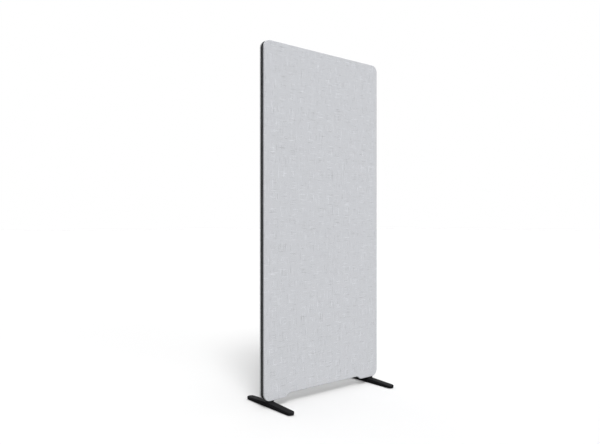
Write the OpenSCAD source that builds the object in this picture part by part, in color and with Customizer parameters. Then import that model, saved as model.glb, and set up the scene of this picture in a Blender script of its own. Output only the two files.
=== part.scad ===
// Free-standing acoustic divider screen: a flat upholstered panel on two low tapered feet.
// The panel is layered: a timber core frame with absorber slabs between its rails, a dark edge
// strip round the frame, and a fabric covered pad on each face.
// X runs along the width, Y from the front to the back, Z up.
// The origin is on the floor, under the centre of the panel.

/* [Panel] */
// Width of the panel over its edge strip
panel_w = 800; // [700:10:1200]
// Height of the panel from its lower edge to its top
panel_h = 1766; // [1400:1:2000]
// Radius of the four corners, seen from the front
corner_r = 38; // [30:1:60]

/* [Bottom recess] */
// Width of the level part of the raised stretch of the lower edge
recess_w = 468; // [300:2:500]
// Height by which that stretch is raised
recess_depth = 18; // [8:1:24]
// Length of the curved ramp at each end of it
recess_ramp = 42; // [36:1:60]

/* [Core frame] */
// Thickness of the timber frame
core_t = 16; // [16:1:25]
// Width of the two upright stiles
stile_w = 70; // [66:1:100]
// Height of the top rail
top_rail_h = 70; // [50:1:120]
// Height of the two middle rails
mid_rail_h = 50; // [40:1:90]
// Height of the bottom rail, from the lower edge of the panel
bottom_rail_h = 120; // [110:1:160]

/* [Edge strip] */
// Thickness of the strip glued round the frame
strip_t = 2; // [1:0.5:3]
// Gap where the two ends of the strip meet
strip_gap = 0.2; // [0.1:0.1:1]

/* [Cover pads] */
// Thickness of the fabric
cover_t = 0.8; // [0.5:0.1:1.5]
// Thickness of the pressed felt board that stiffens a pad
board_t = 3; // [3:0.5:6]
// Thickness of the foam between board and fabric
foam_t = 5.6; // [5:0.1:12]
// Radius of the fabric where it rolls over the edge of the pad
edge_roll = 3; // [2.5:0.5:5]
// Width of the fabric turned in behind the board
turn_in = 16; // [10:1:17]

/* [Pad clips] */
// Diameter of the flat head of a clip
clip_head_d = 14; // [12:0.5:16]
// Thickness of the head
clip_head_t = 1.2; // [0.8:0.1:1.5]
// Diameter of the neck that passes through the board
clip_neck_d = 5; // [4:0.5:6]
// Diameter over the barbs
clip_barb_d = 7.8; // [7:0.1:9]
// Length of the barbed stem inside the frame
clip_stem_l = 10; // [8:0.5:12]
// Number of barbs on a stem
clip_barbs = 4; // [2:1:5]
// Number of clips along a stile, on each face
stile_clips = 5; // [3:1:7]
// Distance of the lowest and the highest of them from the panel's ends
clip_margin = 170; // [160:5:220]
// Distance of a rail's clips from the middle of the rail
rail_clip_x = 170; // [100:5:200]
// Distance by which front and back clips stand apart
clip_stagger = 60; // [20:1:70]

/* [Frame dowels] */
// Diameter of the dowels that join rails and stiles
dowel_d = 8; // [5:0.5:10]
// Length of a dowel
dowel_l = 50; // [40:1:56]
// Chamfer at the ends of a dowel
dowel_chamfer = 1; // [0.5:0.1:1.5]

/* [Feet] */
// Length of a foot, from its front tip to its back tip
foot_l = 358; // [300:2:500]
// Width of a foot
foot_w = 38; // [36:1:50]
// Height of a foot at its middle
foot_h = 21.5; // [20:0.5:26]
// Height of a foot at its tips
foot_tip_h = 12; // [9:0.5:16]
// Radius of the upper edges of a foot
foot_edge_r = 3; // [1:0.5:5]
// Distance from the panel's end to the outer side of a foot
foot_inset = 29; // [24:1:34]

/* [Foot spacers] */
// Clear height between foot and panel
spacer_h = 8.5; // [8:0.5:20]
// Size of a spacer along the panel
spacer_w = 32; // [32:1:34]
// Size of a spacer across the panel
spacer_d = 30; // [24:1:34]
// Radius of the upright corners of a spacer
spacer_r = 5; // [2:0.5:8]
// Depth by which a spacer is let into the foot
spacer_seat = 1; // [0.8:0.1:2]

/* [Foot fixings] */
// Diameter of the bolts that hold a foot
bolt_d = 8; // [6:1:8]
// Length of a bolt under its head
bolt_l = 80; // [70:5:90]
// Diameter of the bolt head
bolt_head_d = 13; // [10:0.5:13.5]
// Height of the bolt head
bolt_head_h = 8; // [6:0.5:8]
// Width across the flats of the key socket in the head
bolt_key = 6; // [5:1:6]
// Depth of that socket
bolt_key_h = 4; // [3:0.5:5]
// Chamfer of the head and of the tip
bolt_chamfer = 0.8; // [0.4:0.1:1]
// Distance between the two bolts of a foot
bolt_pitch = 18; // [17:0.5:20]
// Depth of the bolt heads above the underside of the foot
bolt_sink = 1; // [0.5:0.1:1.5]
// Outer diameter of a washer
washer_d = 15; // [14:0.5:15]
// Thickness of a washer
washer_t = 1.6; // [1:0.1:2]
// Diameter of the cross nuts in the stiles
nut_d = 10; // [10:0.5:12]
// Length of a cross nut
nut_l = 14; // [12:0.5:14]
// Width of the screwdriver slot in a cross nut
nut_slot_w = 1.5; // [1:0.1:2]
// Depth of that slot
nut_slot_h = 1; // [0.5:0.1:1.5]

/* [Glides] */
// Diameter of the glide pads under the feet
glide_d = 28; // [20:1:32]
// Thickness of a glide pad
glide_t = 6; // [5:0.5:8]
// Height by which a glide pad stands out of the foot
glide_proud = 4; // [2:0.5:4.5]
// Distance from a foot's tip to the centre of its glide
glide_inset = 24; // [20:1:40]

/* [Hidden] */
// Overrun of a cut past the face that it starts from
over = 1;
// Clearance round a bolt in a drilled hole, on the radius
bolt_gap = 0.5;
// Clearance between a bolt and a tapped hole, or a dowel and its hole, on the radius
thread_gap = 0.05;
// Clearance round a hard piece that is pushed or let into a pocket, on each side
fit_gap = 0.1;
// Clearance round a washer in its sunk hole, on the radius
washer_gap = 0.2;
// Clearance round a soft piece
soft_gap = 0.3;
// Clearance in front of the head of a clip, and past the tip of its stem
clip_gap = 0.2;
// Thickness of the lip of a barb, as a share of the distance between barbs
barb_lip_share = 0.2;
// Depth of a drilled hole past the tip of a bolt, and past the end of a dowel
bolt_room = 4;
dowel_room = 1;
// Length of bolt that shows past its cross nut
bolt_tip_l = 2;
// Steps along a corner and along a ramp arc of the soft pieces
corner_steps = 10;
ramp_steps = 5;
// Steps round the rolled edge of the fabric, outside and inside, and of the foam
roll_steps = 4;
inner_roll_steps = 2;
foam_steps = 3;
// Places of the two dowels of a joint, as shares of the height that is free for them
dowel_shares = [0.25, 0.75];

// Levels above the floor
foot_top_z = glide_proud + foot_h;
panel_z = foot_top_z + spacer_h;
spacer_z = foot_top_z - spacer_seat;
bolt_z = glide_proud + bolt_sink + bolt_head_h;
washer_top_z = bolt_z + washer_t;
nut_z = bolt_z + bolt_l - bolt_tip_l - nut_d / 2;
bolt_hole_z = bolt_z + bolt_l + bolt_room;

// Places along the panel and across it
stile_in = panel_w / 2 - strip_t - stile_w;
stile_mid = stile_in + stile_w / 2;
foot_x = panel_w / 2 - foot_inset - foot_w / 2;
glide_y = foot_l / 2 - glide_inset;

// A ramp of the recess is two equal arcs that meet on a common tangent
ramp_angle = 2 * atan(recess_depth / recess_ramp);
ramp_r = recess_ramp / (2 * sin(ramp_angle));
recess_half = recess_w / 2;
recess_end = recess_half + recess_ramp;

// Depths of the layers of a pad, from the face of the frame
board_u = cover_t;
foam_u = board_u + board_t;
pad_t = foam_u + foam_t + soft_gap + cover_t;
pad_inset = cover_t + soft_gap;

// Lower and upper edges of the rails, in heights above the lower edge of the panel
bay_h = (panel_h - strip_t - top_rail_h - bottom_rail_h - 2 * mid_rail_h) / 3;
lower_mid_h = bottom_rail_h + bay_h;
upper_mid_h = lower_mid_h + mid_rail_h + bay_h;
top_h = upper_mid_h + mid_rail_h + bay_h;
rail_edges = [
    [strip_t, bottom_rail_h],
    [lower_mid_h, lower_mid_h + mid_rail_h],
    [upper_mid_h, upper_mid_h + mid_rail_h],
    [top_h, panel_h - strip_t]
];

// Heights of the dowels of each rail, which keep clear of the foot bolts
dowel_heights = [
    for (rail = rail_edges)
        let (low = max(rail[0], bolt_hole_z - panel_z))
            for (share = dowel_shares) low + share * (rail[1] - low)
];

// Heights of the clips along a stile and on each rail
clip_pitch = (panel_h - 2 * clip_margin) / (stile_clips - 1);
stile_clip_heights = [for (i = [0 : stile_clips - 1]) clip_margin + i * clip_pitch];
rail_clip_heights = [
    for (rail = rail_edges)
        (max(rail[0], strip_t + recess_depth) + rail[1]) / 2
];
clip_neck_l = foam_u - clip_head_t - clip_gap;

// A foot slopes down from its middle to both tips. Its straight run ends where the round tip
// just reaches half the length of the foot.
foot_slope = atan((foot_h - foot_tip_h) / (foot_l / 2));
foot_reach = (foot_l / 2 - foot_edge_r * (1 - sin(foot_slope))) / cos(foot_slope) + foot_edge_r;
foot_run = foot_reach - foot_w / 2;

$fn = 96;

// Outline of the panel, with true arcs, for the pieces cut from sheet

// A column between two distances from the middle, up to height h
module column(x_low, x_high, h) {
    polygon([[x_low, -over], [x_high, -over], [x_high, h], [x_low, h]]);
}

// One half of the recess in the lower edge: a level stretch, then the upper arc of its ramp,
// then the lower arc. The lower arc is cut back by inset and the upper one grows by it, so that
// they still meet on a common tangent.
module recess_side(inset) {
    lower_r = ramp_r - inset;
    meet_x = recess_end - lower_r * sin(ramp_angle);
    column(-over, recess_half, recess_depth + inset);
    intersection() {
        column(recess_half, meet_x, 2 * ramp_r);
        translate([recess_half, recess_depth - ramp_r]) circle(r = ramp_r + inset);
    }
    difference() {
        column(meet_x, recess_end, ramp_r);
        translate([recess_end, ramp_r]) circle(r = lower_r);
    }
}

// The outline of the panel, drawn in by inset on all sides
module panel_outline(inset) {
    difference() {
        union() {
            translate([-panel_w / 2 + corner_r, inset])
                square([panel_w - 2 * corner_r, panel_h - 2 * inset]);
            translate([-panel_w / 2 + inset, corner_r])
                square([panel_w - 2 * inset, panel_h - 2 * corner_r]);
            for (side = [-1, 1], h = [corner_r, panel_h - corner_r])
                translate([side * (panel_w / 2 - corner_r), h]) circle(r = corner_r - inset);
        }
        for (turn = [0, 1])
            mirror([turn, 0]) recess_side(inset);
    }
}

// A flat layer of the panel, from depth u in front of the frame's face and t thick
module front_layer(inset, u, t) {
    translate([0, -core_t / 2 - u, panel_z])
        rotate([90, 0, 0]) linear_extrude(t) panel_outline(inset);
}

// The same outline as points, for the soft pieces, which roll over at their edges

// Points on an arc round a centre, from angle a to angle b
function arc_points(x, z, r, a, b, steps) = [
    for (i = [0 : steps])
        let (t = a + (b - a) * i / steps) [x + r * cos(t), z + r * sin(t)]
];

function all_but_first(list) = [for (i = [1 : len(list) - 1]) list[i]];
function all_but_last(list) = [for (i = [0 : len(list) - 2]) list[i]];

// The outline drawn in by inset, anticlockwise seen from the front, as [x, height] pairs
function outline_points(inset) =
    let (
        side = panel_w / 2 - corner_r,
        high = panel_h - corner_r,
        low = recess_depth - ramp_r,
        r = corner_r - inset,
        lower_r = ramp_r - inset,
        upper_r = ramp_r + inset
    )
    concat(
        arc_points(-side, corner_r, r, 180, 270, corner_steps),
        arc_points(-recess_end, ramp_r, lower_r, 270, 270 + ramp_angle, ramp_steps),
        all_but_first(arc_points(-recess_half, low, upper_r, 90 + ramp_angle, 90, ramp_steps)),
        all_but_last(arc_points(recess_half, low, upper_r, 90, 90 - ramp_angle, ramp_steps)),
        arc_points(recess_end, ramp_r, lower_r, 270 - ramp_angle, 270, ramp_steps),
        arc_points(side, corner_r, r, 270, 360, corner_steps),
        arc_points(side, high, r, 0, 90, corner_steps),
        arc_points(-side, high, r, 90, 180, corner_steps)
    );

// A closed surface through rings of the outline, each given as [inset, depth u]. The first
// ring is closed by a face to the front and the last by a face to the back.
module ring_solid(rings) {
    count = len(outline_points(0));
    last = len(rings) - 1;
    points = [
        for (ring = rings)
            for (p = outline_points(ring[0])) [p[0], -core_t / 2 - ring[1], panel_z + p[1]]
    ];
    walls = [
        for (k = [0 : last - 1])
            for (i = [0 : count - 1])
                let (a = k * count + i, b = k * count + (i + 1) % count)
                    each [[a, b, a + count], [b, b + count, a + count]]
    ];
    front = [for (i = [0 : count - 1]) count - 1 - i];
    back = [for (i = [0 : count - 1]) last * count + i];
    polyhedron(points = points, faces = concat([front], walls, [back]));
}

// Rings along a quarter circle of radius r about the centre of the rolled edge, from angle a
// to angle b. Angle 0 is on the face of the pad and angle 90 on its side.
function roll_rings(r, a, b, steps) = [
    for (i = [0 : steps])
        let (t = a + (b - a) * i / steps)
            [edge_roll - r * sin(t), pad_t - edge_roll + r * cos(t)]
];

// Turns a piece of the front pad to the back
module facing(back) {
    rotate([0, 0, back ? 180 : 0]) children();
}

// Places on the face of the frame, with Z out of it

// Clips of one stile. Those of the back lie lower than those of the front.
module stile_clip_places(side, back) {
    lift = (back ? -1 : 1) * clip_stagger / 2;
    facing(back)
        for (h = stile_clip_heights)
            translate([(back ? -side : side) * stile_mid, -core_t / 2, panel_z + h + lift])
                rotate([90, 0, 0]) children();
}

// Clips of the rail whose clips are at this height. Those of the back come out on the other
// side of the middle, because the pad is turned round.
module rail_clip_places(h, back) {
    facing(back)
        for (side = [-1, 1])
            translate([side * rail_clip_x + clip_stagger / 2, -core_t / 2, panel_z + h])
                rotate([90, 0, 0]) children();
}

module clip_places(back) {
    for (side = [-1, 1])
        stile_clip_places(side, back) children();
    for (h = rail_clip_heights)
        rail_clip_places(h, back) children();
}

// The hole that takes the stem of a clip
module clip_hole() {
    depth = clip_stem_l + clip_gap;
    translate([0, 0, -depth]) cylinder(d = clip_barb_d + 2 * fit_gap, h = depth + over);
}

// Joints of the frame, with X across the joint

module dowel_places(side, heights) {
    for (h = heights)
        translate([side * stile_in, 0, panel_z + h]) rotate([0, 90, 0]) children();
}

module dowel_hole() {
    depth = dowel_l + 2 * dowel_room;
    translate([0, 0, -depth / 2]) cylinder(d = dowel_d + 2 * thread_gap, h = depth);
}

function rail_dowel_heights(rail) = [dowel_heights[2 * rail], dowel_heights[2 * rail + 1]];

// Places of the two bolts of a foot
module bolt_places(side) {
    for (step = [-1, 1])
        translate([side * foot_x + step * bolt_pitch / 2, 0, 0]) children();
}

// Timber frame

module timber() {
    color("#d9bd93") children();
}

// The frame's sheet outline between two distances from the middle and two heights
module frame_blank(x_low, x_high, h_low, h_high) {
    intersection() {
        front_layer(strip_t, -core_t, core_t);
        translate([x_low, -core_t, panel_z + h_low])
            cube([x_high - x_low, 2 * core_t, h_high - h_low]);
    }
}

// An upright at one side of the panel. The bolts of the foot come up through its end grain,
// each into a cross nut that is let in from the back face.
module stile(side) {
    x_low = side < 0 ? -panel_w / 2 : stile_in;
    timber() difference() {
        frame_blank(x_low, x_low + panel_w / 2 - stile_in, 0, panel_h);
        dowel_places(side, dowel_heights) dowel_hole();
        for (back = [false, true])
            stile_clip_places(side, back) clip_hole();
        bolt_places(side) {
            translate([0, 0, panel_z]) cylinder(r = bolt_d / 2 + bolt_gap, h = bolt_hole_z - panel_z);
            translate([0, -nut_l / 2, nut_z])
                rotate([-90, 0, 0])
                    cylinder(d = nut_d + 2 * fit_gap, h = nut_l / 2 + core_t / 2 + over);
        }
    }
}

// A cross rail, numbered from the bottom
module rail(number) {
    timber() difference() {
        frame_blank(-stile_in, stile_in, rail_edges[number][0], rail_edges[number][1]);
        for (side = [-1, 1])
            dowel_places(side, rail_dowel_heights(number)) dowel_hole();
        for (back = [false, true])
            rail_clip_places(rail_clip_heights[number], back) clip_hole();
    }
}

module frame_dowels() {
    r = dowel_d / 2;
    color("#e6d3ae")
        for (side = [-1, 1])
            dowel_places(side, dowel_heights)
                rotate_extrude() polygon([
                    [0, -dowel_l / 2],
                    [r - dowel_chamfer, -dowel_l / 2],
                    [r, -dowel_l / 2 + dowel_chamfer],
                    [r, dowel_l / 2 - dowel_chamfer],
                    [r - dowel_chamfer, dowel_l / 2],
                    [0, dowel_l / 2]
                ]);
}

// An absorber slab between two rails, numbered from the bottom
module infill(number) {
    low = rail_edges[number][1] + soft_gap;
    high = rail_edges[number + 1][0] - soft_gap;
    color("#e8e8e4")
        translate([-stile_in + soft_gap, -core_t / 2, panel_z + low])
            cube([2 * (stile_in - soft_gap), core_t, high - low]);
}

// Strip bent round the frame, whose ends meet in the middle of the recess
module edge_strip() {
    color("#29292a") difference() {
        front_layer(0, -core_t, core_t);
        front_layer(strip_t, -core_t - over, core_t + 2 * over);
        translate([-strip_gap / 2, -core_t, panel_z])
            cube([strip_gap, 2 * core_t, recess_depth + strip_t + over]);
        for (side = [-1, 1])
            bolt_places(side)
                translate([0, 0, panel_z - over])
                    cylinder(r = bolt_d / 2 + bolt_gap, h = strip_t + 2 * over);
    }
}

// Cover pads

// Pressed felt board, with a stepped hole for each clip
module board(back) {
    color("#8d9194") difference() {
        facing(back) front_layer(pad_inset, board_u, board_t);
        clip_places(back) {
            cylinder(d = clip_neck_d + 2 * fit_gap, h = foam_u + over);
            translate([0, 0, clip_neck_l]) cylinder(d = clip_head_d + 2 * fit_gap, h = board_t);
        }
    }
}

module foam(back) {
    color("#f1efe6")
        facing(back)
            ring_solid(concat(
                roll_rings(edge_roll - pad_inset, 0, 90, foam_steps),
                [[pad_inset, foam_u]]
            ));
}

// Fabric stretched over foam and board, rolled over at the edge and turned in behind the board
module cover(back) {
    color("#cbcdd0")
        facing(back)
            ring_solid(concat(
                roll_rings(edge_roll, 0, 90, roll_steps),
                [[0, 0], [turn_in, 0], [turn_in, cover_t], [cover_t, cover_t]],
                roll_rings(edge_roll - cover_t, 90, 0, inner_roll_steps)
            ));
}

// Push-in clip: a flat head in the board and a barbed stem in the frame
module clip() {
    neck = clip_neck_d / 2;
    barb = clip_barb_d / 2;
    pitch = clip_stem_l / (clip_barbs + 1);
    rotate_extrude() polygon(concat(
        [[0, -clip_stem_l]],
        [
            for (i = [clip_barbs : -1 : 1])
                each [
                    [neck, -(i + 1) * pitch],
                    [barb, -(i + barb_lip_share) * pitch],
                    [barb, -i * pitch],
                    [neck, -i * pitch]
                ]
        ],
        [
            [neck, clip_neck_l],
            [clip_head_d / 2, clip_neck_l],
            [clip_head_d / 2, clip_neck_l + clip_head_t],
            [0, clip_neck_l + clip_head_t]
        ]
    ));
}

module clips(back) {
    color("#f4f4f0") clip_places(back) clip();
}

// Feet

// Section across a foot, with its upper face on the X axis
module foot_section() {
    depth = 2 * foot_h;
    flat = foot_w - 2 * foot_edge_r;
    translate([-foot_w / 2, -depth]) square([foot_w, depth - foot_edge_r]);
    translate([-flat / 2, -depth]) square([flat, depth]);
    for (side = [-1, 1])
        translate([side * flat / 2, -foot_edge_r]) circle(r = foot_edge_r);
}

// The back half of a foot: a straight run and a round tip, tilted down from the middle and
// cut level at the floor and square at the middle
module foot_half() {
    intersection() {
        translate([0, 0, foot_top_z]) rotate([-foot_slope, 0, 0]) {
            translate([0, foot_run, 0]) rotate([90, 0, 0]) linear_extrude(foot_run) foot_section();
            translate([0, foot_run, 0]) rotate_extrude(angle = 180) intersection() {
                foot_section();
                translate([0, -2 * foot_h]) square([foot_w, 2 * foot_h]);
            }
        }
        translate([-foot_w, 0, glide_proud]) cube([2 * foot_w, foot_l, foot_h]);
    }
}

module foot(side) {
    color("#262628") difference() {
        translate([side * foot_x, 0, 0])
            for (turn = [0, 1])
                mirror([0, turn, 0]) foot_half();
        translate([side * foot_x, 0, spacer_z])
            block(spacer_w + 2 * fit_gap, spacer_d + 2 * fit_gap, spacer_r + fit_gap, foot_h);
        bolt_places(side) {
            cylinder(r = bolt_d / 2 + bolt_gap, h = foot_top_z + over);
            cylinder(r = washer_d / 2 + washer_gap, h = washer_top_z);
        }
        for (end = [-1, 1])
            translate([side * foot_x, end * glide_y, 0])
                cylinder(d = glide_d + 2 * fit_gap, h = glide_t);
    }
}

// A plate with round upright corners, centred on the Z axis
module block(w, d, r, h) {
    linear_extrude(h) {
        square([w, d - 2 * r], center = true);
        square([w - 2 * r, d], center = true);
        for (x = [-1, 1], y = [-1, 1])
            translate([x * (w / 2 - r), y * (d / 2 - r)]) circle(r = r);
    }
}

module spacer(side) {
    color("#1d1d1f") difference() {
        translate([side * foot_x, 0, spacer_z])
            block(spacer_w, spacer_d, spacer_r, panel_z - spacer_z);
        bolt_places(side)
            translate([0, 0, spacer_z - over])
                cylinder(r = bolt_d / 2 + bolt_gap, h = panel_z - spacer_z + 2 * over);
    }
}

// Socket head bolts, driven from under the foot
module bolts(side) {
    r = bolt_d / 2;
    head_r = bolt_head_d / 2;
    color("#4a4b4d")
        bolt_places(side)
            translate([0, 0, bolt_z]) difference() {
                rotate_extrude() polygon([
                    [0, -bolt_head_h],
                    [head_r - bolt_chamfer, -bolt_head_h],
                    [head_r, bolt_chamfer - bolt_head_h],
                    [head_r, 0],
                    [r, 0],
                    [r, bolt_l - bolt_chamfer],
                    [r - bolt_chamfer, bolt_l],
                    [0, bolt_l]
                ]);
                translate([0, 0, -bolt_head_h - over])
                    cylinder(d = bolt_key / cos(30), h = bolt_key_h + over, $fn = 6);
            }
}

module washers(side) {
    color("#8a8c8f")
        bolt_places(side)
            translate([0, 0, bolt_z]) linear_extrude(washer_t) difference() {
                circle(d = washer_d);
                circle(r = bolt_d / 2 + washer_gap);
            }
}

// Cross nuts, each tapped across its middle and slotted at its back end
module cross_nuts(side) {
    color("#a7a9ac")
        bolt_places(side)
            translate([0, 0, nut_z]) difference() {
                translate([0, -nut_l / 2, 0]) rotate([-90, 0, 0]) cylinder(d = nut_d, h = nut_l);
                translate([0, 0, -nut_d]) cylinder(r = bolt_d / 2 + thread_gap, h = 2 * nut_d);
                translate([-nut_d, nut_l / 2 - nut_slot_h, -nut_slot_w / 2])
                    cube([2 * nut_d, nut_slot_h + over, nut_slot_w]);
            }
}

module glide(side, end) {
    color("#3a3a3c")
        translate([side * foot_x, end * glide_y, 0]) cylinder(d = glide_d, h = glide_t);
}

stile(-1);  // left_stile
stile(1);  // right_stile
rail(0);  // bottom_rail
rail(1);  // lower_mid_rail
rail(2);  // upper_mid_rail
rail(3);  // top_rail
frame_dowels();
infill(0);  // lower_infill
infill(1);  // middle_infill
infill(2);  // upper_infill
edge_strip();
board(false);  // front_board
board(true);  // back_board
foam(false);  // front_foam
foam(true);  // back_foam
cover(false);  // front_cover
cover(true);  // back_cover
clips(false);  // front_clips
clips(true);  // back_clips
foot(-1);  // left_foot
foot(1);  // right_foot
spacer(-1);  // left_spacer
spacer(1);  // right_spacer
bolts(-1);  // left_bolts
bolts(1);  // right_bolts
washers(-1);  // left_washers
washers(1);  // right_washers
cross_nuts(-1);  // left_cross_nuts
cross_nuts(1);  // right_cross_nuts
glide(-1, -1);  // left_front_glide
glide(-1, 1);  // left_back_glide
glide(1, -1);  // right_front_glide
glide(1, 1);  // right_back_glide
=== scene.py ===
"""Free-standing acoustic divider screen: cloth, foam, finishes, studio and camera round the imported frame."""

import logging
import math
from dataclasses import dataclass, field
from enum import Enum
from typing import ClassVar

import bpy
import numpy as np
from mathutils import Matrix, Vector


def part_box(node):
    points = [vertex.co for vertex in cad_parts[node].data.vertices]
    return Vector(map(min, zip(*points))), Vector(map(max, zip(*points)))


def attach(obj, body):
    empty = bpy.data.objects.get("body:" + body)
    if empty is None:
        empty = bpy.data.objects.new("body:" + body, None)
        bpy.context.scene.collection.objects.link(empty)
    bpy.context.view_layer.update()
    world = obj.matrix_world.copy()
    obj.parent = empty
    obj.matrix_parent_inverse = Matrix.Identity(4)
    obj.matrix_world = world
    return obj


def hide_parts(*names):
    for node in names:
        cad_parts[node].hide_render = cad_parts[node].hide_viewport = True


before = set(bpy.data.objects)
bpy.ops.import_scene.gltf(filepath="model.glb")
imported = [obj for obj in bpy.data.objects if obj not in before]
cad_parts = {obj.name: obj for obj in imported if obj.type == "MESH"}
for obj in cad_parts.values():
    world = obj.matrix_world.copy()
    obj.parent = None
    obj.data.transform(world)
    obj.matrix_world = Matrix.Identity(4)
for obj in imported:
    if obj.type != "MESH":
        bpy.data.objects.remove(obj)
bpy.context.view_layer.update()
LOG = logging.getLogger("divider_screen")

MM = 0.001
QUARTER = math.pi / 2
CLOTH_MAP = "cloth"
GRAIN_DENSITY = 14.0
# Most of a noise lies between its low and its high level.
NOISE_LOW, NOISE_MIDDLE, NOISE_HIGH = 0.3, 0.5, 0.7
# A Mix node's sockets for colours, by number, since others have the same names.
MIX_COLOURS, MIX_RESULT = (6, 7), 2
Colour = tuple[float, float, float]
Socket = bpy.types.NodeSocket
Value = Socket | float | tuple[float, ...]


class Side(Enum):
    """The two faces of the panel."""

    FRONT = "front"
    BACK = "back"


class Grain(Enum):
    """The axis along which the grain or the drawing marks run, as factors that crowd them across it."""

    X = (1.0, GRAIN_DENSITY, GRAIN_DENSITY)
    Y = (GRAIN_DENSITY, 1.0, GRAIN_DENSITY)
    Z = (GRAIN_DENSITY, GRAIN_DENSITY, 1.0)


def smooth_steps(low: float, high: float, count: int) -> np.ndarray:
    """Evenly spaced values from low to high, count steps apart."""
    return np.linspace(low, high, count + 1)


def as_share(waves: np.ndarray) -> np.ndarray:
    """The sum of two sine waves as a share from 0 to 1."""
    return 0.5 + waves / 4


def grey(tone: float) -> tuple[float, ...]:
    """A grey as a colour with its opacity."""
    return (tone, tone, tone, 1.0)


def corner_box(node: str) -> tuple[np.ndarray, np.ndarray]:
    """The lowest and the highest corner of a CAD node, in metres."""
    low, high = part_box(node)
    return np.array(low), np.array(high)


@dataclass
class Surface:
    """Quads that are being put together.

    Args:
        points: One row of x, y, z for each vertex.
        quads: One row of four vertex numbers for each face.
        cloth: One row of two lengths for each vertex, measured over the surface as if it lay flat.
        rim: The vertex numbers of the last ring.
    """

    points: np.ndarray
    quads: np.ndarray
    cloth: np.ndarray
    rim: np.ndarray

    def turned_over(self) -> "Surface":
        """The same surface with its faces looking the other way."""
        return Surface(self.points, self.quads[:, ::-1], self.cloth, self.rim)

    def mirrored_in_depth(self, middle: float) -> "Surface":
        """The surface reflected in the plane y = middle, with its faces still looking outwards.

        Args:
            middle: The depth of the plane.

        Returns:
            The reflected surface.
        """
        points = self.points.copy()
        points[:, 1] = 2 * middle - points[:, 1]
        return Surface(points, self.quads[:, ::-1], self.cloth, self.rim)

    def turned_to_back(self) -> "Surface":
        """The surface turned by half a turn about the upright axis."""
        return Surface(self.points * [-1, -1, 1], self.quads, self.cloth, self.rim)

    def closed_with(self, other: "Surface") -> "Surface":
        """Joins this surface to another of the same build by a strip of quads between their rims.

        Args:
            other: A surface whose rim has as many vertices, in the same order.

        Returns:
            One closed surface.
        """
        shift = len(self.points)
        strip = ring_quads(self.rim, other.rim + shift)
        return Surface(
            np.concatenate([self.points, other.points]),
            np.concatenate([self.quads, other.quads + shift, strip]),
            np.concatenate([self.cloth, other.cloth]),
            other.rim + shift,
        )


def ring_quads(inner: np.ndarray, outer: np.ndarray) -> np.ndarray:
    """Quads between two closed rings of vertices that run anticlockwise seen from the front.

    Args:
        inner: Vertex numbers of the ring nearer the middle of the face.
        outer: Vertex numbers of the next ring, further round the edge.

    Returns:
        One row of four vertex numbers for each quad, facing outwards.
    """
    return np.stack([inner, outer, np.roll(outer, -1), np.roll(inner, -1)], axis=1)


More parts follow.
